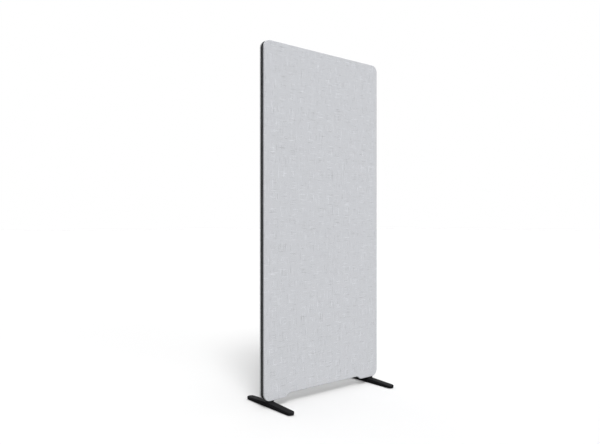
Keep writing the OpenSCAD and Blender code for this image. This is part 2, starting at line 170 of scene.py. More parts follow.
@dataclass(frozen=True)
class Outline:
    """The outline of a flat layer: straight sides, round corners and a raised stretch below.

    Args:
        half_width: Half the width over all.
        low: Height of the lower edge.
        high: Height of the upper edge.
        corner: Radius of the four corners.
        recess_half: Half the length of the level part of the raised stretch.
        recess_depth: Height by which it is raised, or 0 for none.
        recess_ramp: Length of the curved ramp at each end of it.
        step: Rough size of a quad on the face.
        corner_steps: Quads round a corner.
        ramp_steps: Quads along each of the two arcs of a ramp.
    """

    half_width: float
    low: float
    high: float
    corner: float
    recess_half: float = 0.0
    recess_depth: float = 0.0
    recess_ramp: float = 0.0
    step: float = 0.018
    corner_steps: int = 44
    ramp_steps: int = 20

    def straight(self, start: float, end: float, height: float) -> np.ndarray:
        """Rows of x, z and outward normal along a level stretch of the lower edge.

        Args:
            start: Distance from the middle at which it starts.
            end: Distance at which it ends.
            height: Height of the stretch.

        Returns:
            One row of x, z, normal x, normal z for each point.
        """
        x = smooth_steps(start, end, max(1, round((end - start) / self.step)))
        return np.stack([x, x * 0 + height, x * 0, x * 0 - 1], axis=1)

    def ramp(self, inset: float) -> np.ndarray:
        """Rows along the ramp: an arc round a centre below it, then one round a centre above it.

        Both arcs turn by twice the angle whose tangent is the depth over the length, so they meet
        on a common tangent. Drawn in by inset, the first grows by it and the second shrinks.

        Args:
            inset: Distance by which the outline is drawn in.

        Returns:
            One row of x, z, normal x, normal z for each point, from the level part outwards.
        """
        slope = 2 * math.atan(self.recess_depth / self.recess_ramp)
        radius = self.recess_ramp / (2 * math.sin(slope))
        turn = smooth_steps(0, slope, self.ramp_steps)
        sine, cosine = np.sin(turn), np.cos(turn)
        first, second = radius + inset, radius - inset
        end = self.recess_half + self.recess_ramp
        upper = np.stack([
            self.recess_half + first * sine,
            self.low + self.recess_depth - radius + first * cosine,
            -sine,
            -cosine,
        ], axis=1)
        lower = np.stack([
            end - second * sine,
            self.low + radius - second * cosine,
            -sine,
            -cosine,
        ], axis=1)
        return np.concatenate([upper, lower[-2::-1]])

    def lower_row(self, inset: float) -> np.ndarray:
        """The lower edge from the left side to the right side, as x, z and outward normal.

        Args:
            inset: Distance by which the outline is drawn in.

        Returns:
            One row of x, z, normal x, normal z for each point.
        """
        start = self.half_width - self.corner
        bend = self.corner - inset
        turn = smooth_steps(0, QUARTER, self.corner_steps)
        sine, cosine = np.sin(turn), np.cos(turn)
        corner = np.stack([
            start + bend * sine, self.low + self.corner - bend * cosine, sine, -cosine,
        ], axis=1)
        if self.recess_depth > 0:
            end = self.recess_half + self.recess_ramp
            stretches = [
                self.straight(0, self.recess_half, self.low + self.recess_depth + inset),
                self.ramp(inset)[1:],
                self.straight(end, start, self.low + inset)[1:],
                corner[1:],
            ]
        else:
            stretches = [self.straight(0, start, self.low + inset), corner[1:]]
        right = np.concatenate(stretches)
        left = right[:0:-1] * [-1, 1, -1, 1]
        return np.concatenate([left, right])

    def upper_row(self, x: np.ndarray, inset: float) -> np.ndarray:
        """The upper edge above the same distances from the middle.

        Args:
            x: Distances from the middle.
            inset: Distance by which the outline is drawn in.

        Returns:
            One row of x, z, normal x, normal z for each point.
        """
        bend = self.corner - inset
        past = np.clip(np.abs(x) - (self.half_width - self.corner), 0, bend)
        rise = np.sqrt(bend * bend - past * past)
        return np.stack([x, self.high - self.corner + rise, np.sign(x) * past / bend, rise / bend], axis=1)

    def layer(
        self, inset: float, face_y: float, profile: np.ndarray, wave: "Wave | None" = None,
    ) -> Surface:
        """A face on a grid, with a profile carried round its edge.

        A point of the face has two parameters: how far along the lower edge its column stands,
        and its share of the way up from the lower to the upper edge. A point of the edge is the
        face's edge point, moved out along its normal and back in depth, as the profile says.

        Args:
            inset: Distance by which the face's own outline is drawn in.
            face_y: Depth of the face.
            profile: One row for each ring: distance outwards, depth, length over the surface from
                the face's edge, and share of the side's waviness.
            wave: Waviness of the surface, or none.

        Returns:
            The surface, which faces the front.
        """
        lower = self.lower_row(inset)
        upper = self.upper_row(lower[:, 0], inset)
        rows = max(2, round((self.high - self.low) / self.step))
        share = smooth_steps(0, 1, rows)[:, None]
        z = lower[:, 1] + share * (upper[:, 1] - lower[:, 1])
        x = np.broadcast_to(lower[:, 0], z.shape)
        y = np.full(z.shape, face_y)
        if wave is not None:
            edge = np.minimum.reduce([self.half_width - np.abs(x), z - lower[:, 1], upper[:, 1] - z])
            y = y + wave.dip(x, z) * np.clip(edge / wave.fade, 0, 1) ** 2
        index = np.arange(z.size).reshape(z.shape)
        quads = np.stack([index[:-1, :-1], index[:-1, 1:], index[1:, 1:], index[1:, :-1]], axis=-1)
        quads = quads.reshape(-1, 4)
        rim = np.concatenate([index[0], index[1:, -1], index[-1, -2::-1], index[-2:0:-1, 0]])
        side = np.tile([1.0, 0.0], (rows, 1))
        normal = np.concatenate([lower[:, 2:], side, upper[-2::-1, 2:], -side[1:]])
        edge_x, edge_z = x.reshape(-1)[rim], z.reshape(-1)[rim]
        points = [np.stack([x, y, z], axis=-1).reshape(-1, 3)]
        cloth = [points[0][:, [0, 2]]]
        for out, depth, travel, share_of_wave in profile:
            reach = out + (wave.bulge(edge_x, edge_z, normal) * share_of_wave if wave is not None else 0.0)
            ring_x, ring_z = edge_x + normal[:, 0] * reach, edge_z + normal[:, 1] * reach
            points.append(np.stack([ring_x, np.full(len(rim), depth), ring_z], axis=1))
            cloth.append(np.stack([edge_x + normal[:, 0] * travel, edge_z + normal[:, 1] * travel], axis=1))
            following = index.size + (len(points) - 2) * len(rim) + np.arange(len(normal))
            quads = np.concatenate([quads, ring_quads(rim, following)])
            rim = following
        return Surface(np.concatenate(points), quads, np.concatenate(cloth), rim)


@dataclass(frozen=True)
class Wave:
    """Faint waviness of stretched cloth: sums of a few sine waves of unlike lengths.

    Round the corners the cloth is gathered, since its hem is shorter there than its face. The
    gathers are the squared sine of the outward normal's angle, so straight sides have none.

    Args:
        depth: Greatest dip of the face.
        side: Greatest bulge of the side, which stays inside the outline.
        gather: Depth of the gathers.
        gathers: Gathers in a quarter turn.
        fade: Width of the border over which the face's dip fades out.
        turn: Shift of the waves, so that no two pieces are alike.
    """

    depth: float
    side: float
    gather: float = 0.0
    gathers: int = 9
    fade: float = 0.05
    turn: float = 0.0
    face_waves: ClassVar[tuple[tuple[float, float], ...]] = ((9.1, 3.7), (-14.9, 5.3))
    side_waves: ClassVar[tuple[float, float]] = (23.0, 61.0)
    uneven: ClassVar[float] = 0.2
    uneven_waves: ClassVar[int] = 5

    def dip(self, x: np.ndarray, z: np.ndarray) -> np.ndarray:
        """Depth below the flat face, from 0 to depth."""
        waves = [np.sin(a * x + b * z + n * self.turn) for n, (a, b) in enumerate(self.face_waves, 1)]
        return self.depth * as_share(sum(waves))

    def bulge(self, x: np.ndarray, z: np.ndarray, normal: np.ndarray) -> np.ndarray:
        """Distance by which the side lies inside its outline, as a negative number.

        Args:
            x: Distances from the middle.
            z: Heights.
            normal: One row of outward normal for each point.

        Returns:
            The distances.
        """
        rising, falling = self.side_waves
        waves = np.sin(rising * (x + z) + self.turn) + np.sin(falling * (z - x) + 3 * self.turn)
        angle = np.arctan2(normal[:, 1], normal[:, 0])
        swell = 1 - self.uneven + self.uneven * np.sin(self.uneven_waves * angle)
        folds = np.sin(2 * self.gathers * angle) ** 2 * swell
        return -self.side * as_share(waves) - self.gather * folds


def rounded_edge(radius: float, face: float, steps: int = 4) -> np.ndarray:
    """The profile of an edge rounded by a quarter circle, for Outline.layer.

    Args:
        radius: Radius of the edge.
        face: Depth of the face that it starts from.
        steps: Quads round it.

    Returns:
        One row of distance outwards, depth, length over the surface and share of waviness a ring.
    """
    turn = smooth_steps(0, QUARTER, steps)[1:]
    depth = face + radius * (1 - np.cos(turn))
    return np.stack([radius * np.sin(turn), depth, radius * turn, turn * 0], axis=1)


def new_piece(name: str, surface: Surface, body: str = "root") -> bpy.types.Object:
    """Makes an object of a surface, with its cloth lengths as a UV map, and lets it ride on a body.

    Args:
        name: Name of the piece.
        surface: The finished surface, in the frame's metres.
        body: The body that carries the piece.

    Returns:
        The object, which sits at the origin.
    """
    mesh = bpy.data.meshes.new(name)
    mesh.from_pydata(surface.points.tolist(), [], surface.quads.tolist())
    corners = np.empty(len(mesh.loops), dtype=np.int64)
    mesh.loops.foreach_get("vertex_index", corners)
    layer = mesh.uv_layers.new(name=CLOTH_MAP)
    layer.data.foreach_set("uv", surface.cloth[corners].astype(np.float32).ravel())
    mesh.polygons.foreach_set("use_smooth", np.ones(len(mesh.polygons), dtype=bool))
    mesh.update()
    piece = bpy.data.objects.new(name, mesh)
    bpy.context.scene.collection.objects.link(piece)
    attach(piece, body)
    return piece


class Graph:
    """Adds and links the nodes of one material or world."""

    def __init__(self, owner: bpy.types.Material | bpy.types.World) -> None:
        """Clears the owner's nodes.

        Args:
            owner: The material or world whose nodes are made.
        """
        owner.use_nodes = True
        self.tree = owner.node_tree
        self.tree.nodes.clear()

    def put(self, value: Value, socket: Socket) -> None:
        """Links a socket to another, or sets its value.

        Args:
            value: The other socket, or the value.
            socket: The input that takes it.
        """
        if isinstance(value, Socket):
            self.tree.links.new(value, socket)
        else:
            socket.default_value = value

    def node(
        self, kind: str, settings: dict[str, object] | None = None, **inputs: Value,
    ) -> bpy.types.Node:
        """Adds a node.

        Args:
            kind: Type name of the node.
            settings: Properties of the node.
            **inputs: Values or sockets for its inputs, by name with _ in place of a blank.

        Returns:
            The node.
        """
        made = self.tree.nodes.new(kind)
        for key, value in (settings or {}).items():
            setattr(made, key, value)
        self.feed(made, **inputs)
        return made

    def feed(self, node: bpy.types.Node, **inputs: Value) -> None:
        """Puts values or sockets into a node's own inputs, by name with _ in place of a blank."""
        for key, value in inputs.items():
            self.put(value, node.inputs[key.replace("_", " ")])

    def math(self, operation: str, first: Value, second: Value = 0.0, third: Value = 0.0) -> Socket:
        """The result of a Math node.

        Args:
            operation: Name of the operation.
            first: First number or socket.
            second: Second number or socket.
            third: Third number or socket.

        Returns:
            The output socket.
        """
        made = self.tree.nodes.new("ShaderNodeMath")
        made.operation = operation
        for value, socket in zip((first, second, third), made.inputs):
            self.put(value, socket)
        return made.outputs[0]

    def product(self, vector: Value, factors: Value) -> Socket:
        """The product of two vectors, part by part.

        Args:
            vector: First vector.
            factors: Second vector.

        Returns:
            The output socket.
        """
        made = self.tree.nodes.new("ShaderNodeVectorMath")
        made.operation = "MULTIPLY"
        self.put(vector, made.inputs[0])
        self.put(factors, made.inputs[1])
        return made.outputs[0]

    def noise(self, vector: Value, scale: float, detail: float = 2.0, rough: float = 0.5) -> Socket:
        """Smooth noise from 0 to 1, about 0.5 in the middle.

        Args:
            vector: Place at which it is read.
            scale: Waves in a unit of length.
            detail: Octaves of finer noise.
            rough: Strength of each octave against the one before.

        Returns:
            The output socket.
        """
        made = self.node("ShaderNodeTexNoise", Vector=vector, Scale=scale, Detail=detail, Roughness=rough)
        return made.outputs["Fac"]

    def spread(self, value: Value, low: float, high: float, to_low: float, to_high: float) -> Socket:
        """Maps the stretch from low to high onto another, and holds its ends.

        Args:
            value: The number or socket to map.
            low: Lower end of the stretch.
            high: Upper end of it.
            to_low: What the lower end becomes.
            to_high: What the upper end becomes.

        Returns:
            The output socket.
        """
        made = self.node(
            "ShaderNodeMapRange", Value=value, From_Min=low, From_Max=high, To_Min=to_low, To_Max=to_high,
        )
        return made.outputs["Result"]

    def blend(self, share: Value, first: Colour, second: Colour) -> Socket:
        """Mixes two colours.

        Args:
            share: Share of the second.
            first: First colour.
            second: Second colour.

        Returns:
            The output socket.
        """
        made = self.node("ShaderNodeMix", {"data_type": "RGBA", "blend_type": "MIX"})
        self.put(share, made.inputs["Factor"])
        for colour, place in zip((first, second), MIX_COLOURS):
            self.put((*colour, 1.0), made.inputs[place])
        return made.outputs[MIX_RESULT]

    def toned(self, noise: Value, strength: float, tone: Value = 1.0) -> Socket:
        """A tone that rises and falls with a noise, and stays as it is at the noise's middle."""
        return self.math("MULTIPLY_ADD", self.math("SUBTRACT", noise, NOISE_MIDDLE), strength, tone)

    def tinted(self, colour: Value, factor: Value) -> Socket:
        """A colour made lighter or darker by a factor."""
        even = self.node("ShaderNodeCombineXYZ", X=factor, Y=factor, Z=factor)
        return self.product(colour, even.outputs[0])

    def bump(self, height: Value, distance: float, strength: float) -> Socket:
        """A normal that follows a height, whose full range is distance."""
        made = self.node("ShaderNodeBump", Height=height, Distance=distance, Strength=strength)
        return made.outputs["Normal"]

    def object_place(self) -> Socket:
        """The place on the object in metres."""
        return self.node("ShaderNodeTexCoord").outputs["Object"]


@dataclass(frozen=True)
class Finish:
    """What all finishes share.

    Args:
        name: Name of the material.
        colour: Mean colour.
        roughness: Roughness of the surface.
    """

    name: str
    colour: Colour
    roughness: float

    def material(self) -> bpy.types.Material:
        """The finish as a material, made once."""
        return bpy.data.materials.get(self.name) or self.made()

    def made(self) -> bpy.types.Material:
        """Makes the material.

        Returns:
            The new material.
        """
        material = bpy.data.materials.new(self.name)
        graph = Graph(material)
        shader = graph.node("ShaderNodeBsdfPrincipled", Roughness=self.roughness)
        self.dress(graph, shader)
        graph.node("ShaderNodeOutputMaterial", Surface=shader.outputs[0])
        material.diffuse_color = (*self.colour, 1.0)
        return material

    def dress(self, graph: Graph, shader: bpy.types.Node) -> None:
        """Adds the pattern, the bump and the constants, which each kind of finish has of its own."""
        raise NotImplementedError

    def uneven_gloss(self, graph: Graph, noise: Value, smoother: float, rougher: float) -> Socket:
        """The finish's roughness, made less or more by a noise."""
        low, high = self.roughness - smoother, self.roughness + rougher
        return graph.spread(noise, NOISE_LOW, NOISE_HIGH, low, high)


@dataclass(frozen=True)
class WovenCloth(Finish):
    """Melange upholstery cloth in plain weave, read from the piece's own cloth map.

    The height of a cell is the product of two sine arches, the narrower one across the thread
    that lies on top; warp and weft take turns as on a chessboard. Each thread has its own tone,
    which drifts along it, and here and there a light or dark slub runs along a thread or two. It
    shows where its threads lie on top.

    Args:
        thread: Distance between threads.
        relief: Height of the weave.
        thread_tone: Strength of the tone of single threads.
        thread_length: Threads over which that tone changes.
        slub_tone: Strength of the slubs.
        slub_width: Threads across a slub.
        slub_length: Threads over which a slub comes and goes.
        slub_start: Level above or below the middle of the noise at which a slub starts.
        slub_full: Level at which it has its full tone.
        fibres: Single fibres in a metre.
        fibre_tone: Strength of their tone.
        shade: How much darker the hollows between threads are.
        sheen: Weight of the sheen of loose fibres.
    """

    thread: float = 1.25 * MM
    relief: float = 0.16 * MM
    thread_tone: float = 0.14
    thread_length: float = 34.0
    slub_tone: float = 0.45
    slub_width: float = 2.0
    slub_length: float = 50.0
    slub_start: float = 0.13
    slub_full: float = 0.30
    fibres: float = 5200.0
    fibre_tone: float = 0.10
    shade: float = 0.30
    sheen: float = 0.04
    across_power: ClassVar[float] = 0.9
    along_power: ClassVar[float] = 0.4
    shade_power: ClassVar[float] = 0.6
    slub_lift: ClassVar[float] = 0.5
    fibre_lift: ClassVar[float] = 0.35
    bundle_gap: ClassVar[float] = 7.31
    edge_shift: ClassVar[tuple[float, float, float]] = (1.0, 1.0, 0.0)

    def thread_noise(
        self, graph: Graph, across: Value, along: Value, step: float, run: float, seed: float,
    ) -> Socket:
        """Noise that is constant across one bundle of threads and drifts along it.

        Args:
            graph: Graph that takes the nodes.
            across: Place across the threads, in threads.
            along: Place along them, in threads.
            step: Threads in a bundle.
            run: Threads over which the tone changes.
            seed: Shift that makes this noise unlike the others.

        Returns:
            The output socket.
        """
        number = graph.math("FLOOR", graph.math("DIVIDE", across, step))
        bundle = graph.math("MULTIPLY", number, self.bundle_gap)
        drift = graph.math("DIVIDE", along, run)
        place = graph.node("ShaderNodeCombineXYZ", X=bundle, Y=drift, Z=seed)
        return graph.noise(place.outputs[0], scale=1.0, detail=1.0)

    def weave(self, graph: Graph, turn: Value, u: Value, v: Value) -> Socket:
        """Height of the weave, from 0 in the hollows to 1 on top of a thread.

        Args:
            graph: Graph that takes the nodes.
            turn: 0 where the warp lies on top and 1 where the weft does.
            u: Place across the warp, in threads.
            v: Place along the warp, in threads.

        Returns:
            The output socket.
        """
        arch_u = graph.math("ABSOLUTE", graph.math("SINE", graph.math("MULTIPLY", u, math.pi)))
        arch_v = graph.math("ABSOLUTE", graph.math("SINE", graph.math("MULTIPLY", v, math.pi)))
        narrow, wide = self.across_power, self.along_power
        warp = graph.math("MULTIPLY", graph.math("POWER", arch_u, narrow), graph.math("POWER", arch_v, wide))
        weft = graph.math("MULTIPLY", graph.math("POWER", arch_u, wide), graph.math("POWER", arch_v, narrow))
        return self.either(graph, turn, warp, weft)

    def dress(self, graph: Graph, shader: bpy.types.Node) -> None:
        """Adds the weave, the melange and the slubs.

        Args:
            graph: Graph that takes the nodes.
            shader: Shader that they feed.
        """
        place = graph.node("ShaderNodeUVMap", {"uv_map": CLOTH_MAP}).outputs[0]
        shifted = graph.node("ShaderNodeVectorMath", {"operation": "ADD"})
        graph.put(place, shifted.inputs[0])
        graph.put(self.edge_shift, shifted.inputs[1])
        count = 1.0 / self.thread
        threads = graph.product(shifted.outputs[0], (count, count, 0.0))
        cell = graph.node("ShaderNodeSeparateXYZ", Vector=threads)
        u, v = cell.outputs[0], cell.outputs[1]
        turn = graph.math("MODULO", graph.math("ADD", graph.math("FLOOR", u), graph.math("FLOOR", v)), 2.0)
        height = self.weave(graph, turn, u, v)
        single = self.either(
            graph, turn,
            self.thread_noise(graph, u, v, 1.0, self.thread_length, seed=0.0),
            self.thread_noise(graph, v, u, 1.0, self.thread_length, seed=11.0),
        )
        upright = self.thread_noise(graph, u, v, self.slub_width, self.slub_length, seed=23.0)
        level = self.thread_noise(graph, v, u, self.slub_width, self.slub_length, seed=37.0)
        fibre = graph.noise(place, self.fibres, detail=3.0, rough=0.7)
        slub = self.slubs(graph, self.either(graph, turn, upright, level))
        tone = graph.toned(single, self.thread_tone)
        tone = graph.math("MULTIPLY_ADD", slub, self.slub_tone, tone)
        tone = graph.toned(fibre, self.fibre_tone, tone)
        hollow = graph.math("SUBTRACT", 1.0, graph.math("POWER", height, self.shade_power))
        tone = graph.math("SUBTRACT", tone, graph.math("MULTIPLY", hollow, self.shade))
        thick = graph.math("MULTIPLY_ADD", slub, self.slub_lift, height)
        raised = graph.math("MULTIPLY_ADD", fibre, self.fibre_lift, thick)
        graph.feed(
            shader,
            Base_Color=graph.tinted(self.colour, tone),
            Normal=graph.bump(raised, self.relief, strength=0.8),
            Specular_IOR_Level=0.1,
            Sheen_Weight=self.sheen,
            Sheen_Roughness=0.6,
        )

    @staticmethod
    def either(graph: Graph, turn: Value, first: Value, second: Value) -> Socket:
        """The first value where turn is 0 and the second where it is 1."""
        rest = graph.math("SUBTRACT", second, first)
        return graph.math("MULTIPLY_ADD", rest, turn, first)

    def slubs(self, graph: Graph, noise: Value) -> Socket:
        """The rare peaks of a noise as light slubs and its rare dips as dark ones, from -1 to 1.

        Args:
            graph: Graph that takes the nodes.
            noise: The noise.

        Returns:
            The output socket.
        """
        start, full = self.slub_start, self.slub_full
        light = graph.spread(noise, NOISE_MIDDLE + start, NOISE_MIDDLE + full, 0.0, 1.0)
        dark = graph.spread(noise, NOISE_MIDDLE - full, NOISE_MIDDLE - start, 1.0, 0.0)
        return graph.math("SUBTRACT", light, dark)


@dataclass(frozen=True)
class PowderCoat(Finish):
    """Matt powder coat: a fine orange peel with faint cloudiness and a little dust.

    Args:
        peel: Size of the orange peel.
        relief: Height of it.
        dust: Strength of the lighter specks.
    """

    peel: float = 0.5 * MM
    relief: float = 0.05 * MM
    dust: float = 0.35
    clouds_in_metre: ClassVar[float] = 18.0
    cloud_tone: ClassVar[float] = 0.5
    specks_in_metre: ClassVar[float] = 900.0
    speck_start: ClassVar[float] = 0.68
    speck_full: ClassVar[float] = 0.8

    def dress(self, graph: Graph, shader: bpy.types.Node) -> None:
        """Adds the orange peel, the cloudiness and the specks.

        Args:
            graph: Graph that takes the nodes.
            shader: Shader that they feed.
        """
        place = graph.object_place()
        peel = graph.noise(place, 1.0 / self.peel, rough=0.6)
        cloud = graph.noise(place, self.clouds_in_metre, detail=3.0)
        grains = graph.noise(place, self.specks_in_metre, detail=1.0)
        speck = graph.spread(grains, self.speck_start, self.speck_full, 0.0, 1.0)
        tone = graph.toned(cloud, self.cloud_tone)
        tone = graph.math("MULTIPLY_ADD", speck, self.dust, tone)
        graph.feed(
            shader,
            Base_Color=graph.tinted(self.colour, tone),
            Roughness=self.uneven_gloss(graph, cloud, smoother=0.05, rougher=0.06),
            Normal=graph.bump(peel, self.relief, strength=0.5),
            Specular_IOR_Level=0.02,
        )


@dataclass(frozen=True)
class MouldedPlastic(Finish):
    """Moulded or extruded plastic with a fine spark-eroded grain.

    Args:
        grain: Size of the grain.
        relief: Height of it.
        gloss: Level of the mirror part.
    """

    grain: float = 0.35 * MM
    relief: float = 0.03 * MM
    gloss: float = 0.4
    grain_tone: ClassVar[float] = 0.25
    clouds_in_metre: ClassVar[float] = 9.0
    cloud_tone: ClassVar[float] = 0.22

    def dress(self, graph: Graph, shader: bpy.types.Node) -> None:
        """Adds the grain and a faint change of tone.

        Args:
            graph: Graph that takes the nodes.
            shader: Shader that they feed.
        """
        place = graph.object_place()
        grain = graph.noise(place, 1.0 / self.grain, detail=3.0, rough=0.65)
        cloud = graph.noise(place, self.clouds_in_metre)
        tone = graph.toned(grain, self.grain_tone, graph.toned(cloud, self.cloud_tone))
        graph.feed(
            shader,
            Base_Color=graph.tinted(self.colour, tone),
            Normal=graph.bump(grain, self.relief, strength=0.5),
            Specular_IOR_Level=self.gloss,
        )


@dataclass(frozen=True)
class PlatedSteel(Finish):
    """Zinc-plated steel with fine drawing marks along one axis.

    Args:
        marks: Axis of the marks.
        relief: Height of them.
    """

    marks: Grain = Grain.Z
    relief: float = 0.02 * MM
    marks_in_metre: ClassVar[float] = 220.0
    spots_in_metre: ClassVar[float] = 160.0
    spot_tone: ClassVar[float] = 0.35

    def dress(self, graph: Graph, shader: bpy.types.Node) -> None:
        """Adds the drawing marks and the mottled plating.

        Args:
            graph: Graph that takes the nodes.
            shader: Shader that they feed.
        """
        place = graph.object_place()
        marks = graph.noise(graph.product(place, self.marks.value), self.marks_in_metre)
        mottle = graph.noise(place, self.spots_in_metre, detail=3.0)
        tone = graph.toned(mottle, self.spot_tone)
        graph.feed(
            shader,
            Base_Color=graph.tinted(self.colour, tone),
            Roughness=self.uneven_gloss(graph, mottle, smoother=0.08, rougher=0.1),
            Normal=graph.bump(marks, self.relief, strength=0.4),
            Metallic=1.0,
        )


@dataclass(frozen=True)
class Softwood(Finish):
    """Planed softwood: year rings cut lengthwise, with fine pores.

    Args:
        grain: Axis along which the wood grows.
        late_wood: Colour of the darker rings.
        relief: Depth of the pores.
    """

    grain: Grain
    late_wood: Colour = (0.52, 0.31, 0.14)
    relief: float = 0.06 * MM
    late_share: ClassVar[float] = 0.55
    late_start: ClassVar[float] = 0.1
    bends_in_metre: ClassVar[float] = 1.6
    ring_density: ClassVar[float] = 74.0
    pores_in_metre: ClassVar[float] = 90.0
    pore_tone: ClassVar[float] = 0.3

    def dress(self, graph: Graph, shader: bpy.types.Node) -> None:
        """Adds the rings and the pores.

        Args:
            graph: Graph that takes the nodes.
            shader: Shader that they feed.
        """
        place = graph.object_place()
        stretched = graph.product(place, self.grain.value)
        bends = graph.noise(stretched, self.bends_in_metre, detail=3.0)
        rings = graph.math("SINE", graph.math("MULTIPLY", bends, self.ring_density))
        late = graph.spread(rings, self.late_start, 1.0, 0.0, self.late_share)
        pores = graph.noise(stretched, self.pores_in_metre, rough=0.6)
        wood = graph.blend(late, self.colour, self.late_wood)
        tone = graph.toned(pores, self.pore_tone)
        graph.feed(
            shader,
            Base_Color=graph.tinted(wood, tone),
            Normal=graph.bump(pores, self.relief, strength=0.5),
            Specular_IOR_Level=0.25,
        )


@dataclass(frozen=True)
class FibreMat(Finish):
    """Felt, fibre slab or foam: short crossing fibres or cells with a soft sheen.

    Args:
        fibre: Size of the fibres or cells.
        relief: Height of them.
        speckle: Strength of the light and dark specks.
    """

    fibre: float = 0.6 * MM
    relief: float = 0.3 * MM
    speckle: float = 0.5
    stretch: ClassVar[float] = 0.3
    clouds_in_metre: ClassVar[float] = 30.0
    cloud_tone: ClassVar[float] = 0.12

    def dress(self, graph: Graph, shader: bpy.types.Node) -> None:
        """Adds the fibres, the specks and the sheen.

        Args:
            graph: Graph that takes the nodes.
            shader: Shader that they feed.
        """
        place = graph.object_place()
        count = 1.0 / self.fibre
        along = graph.noise(graph.product(place, (self.stretch, 1.0, 1.0)), count, detail=3.0, rough=0.7)
        upright = graph.noise(graph.product(place, (1.0, 1.0, self.stretch)), count, detail=3.0, rough=0.7)
        fibres = graph.math("MULTIPLY", graph.math("ADD", along, upright), 0.5)
        cloud = graph.noise(place, self.clouds_in_metre)
        tone = graph.toned(cloud, self.cloud_tone, graph.toned(fibres, self.speckle))
        graph.feed(
            shader,
            Base_Color=graph.tinted(self.colour, tone),
            Normal=graph.bump(fibres, self.relief, strength=0.7),
            Specular_IOR_Level=0.15,
            Sheen_Weight=0.15,
            Sheen_Roughness=0.7,
        )


CLOTH = WovenCloth("light_grey_cloth", (0.665, 0.677, 0.707), 0.95)
FOAM = FibreMat("open_cell_foam", (0.80, 0.78, 0.70), 0.9, fibre=0.8 * MM, speckle=0.35)
SLAB = FibreMat("fibre_slab", (0.80, 0.80, 0.77), 0.9, fibre=1.5 * MM, relief=0.6 * MM)
FELT = FibreMat("pressed_felt", (0.28, 0.29, 0.30), 0.9)
GLIDE_FELT = FibreMat("glide_felt", (0.035, 0.035, 0.037), 0.9, fibre=0.4 * MM, relief=0.15 * MM)
STRIP = MouldedPlastic("black_edge_strip", (0.012, 0.012, 0.013), 0.6, gloss=0.05)
SPACER = MouldedPlastic("black_spacer", (0.012, 0.012, 0.013), 0.55, gloss=0.1)
CLIP = MouldedPlastic("natural_nylon", (0.78, 0.78, 0.74), 0.4)
COAT = PowderCoat("black_powder_coat", (0.015, 0.015, 0.016), 0.7)
BOLT = PlatedSteel("bolt_plating", (0.42, 0.42, 0.43), 0.35)
WASHER = PlatedSteel("washer_plating", (0.55, 0.55, 0.56), 0.32, marks=Grain.X)
NUT = PlatedSteel("nut_plating", (0.58, 0.58, 0.57), 0.30, marks=Grain.Y)
STILE_WOOD = Softwood("stile_timber", (0.72, 0.53, 0.31), 0.6, grain=Grain.Z)
RAIL_WOOD = Softwood("rail_timber", (0.72, 0.53, 0.31), 0.6, grain=Grain.X)
DOWEL_WOOD = Softwood("dowel_beech", (0.70, 0.50, 0.33), 0.6, grain=Grain.X, late_wood=(0.58, 0.38, 0.23))


@dataclass
class PanelLayers:
    """Sizes of the panel that its soft layers share, read from the CAD nodes where they show.

    Args:
        corner: Radius of the four corners.
        recess_half: Half the length of the level part of the raised stretch of the lower edge.
        recess_depth: Height by which it is raised.
        recess_ramp: Length of the curved ramp at each end of it.
    """

    corner: float = 38 * MM
    recess_half: float = 234 * MM
    recess_depth: float = 18 * MM
    recess_ramp: float = 42 * MM

    def outline(self) -> Outline:
        """The panel's outline, as the edge strip has it."""
        low, high = corner_box("edge_strip")
        return Outline(
            (high[0] - low[0]) / 2, low[2], high[2], self.corner,
            self.recess_half, self.recess_depth, self.recess_ramp,
        )


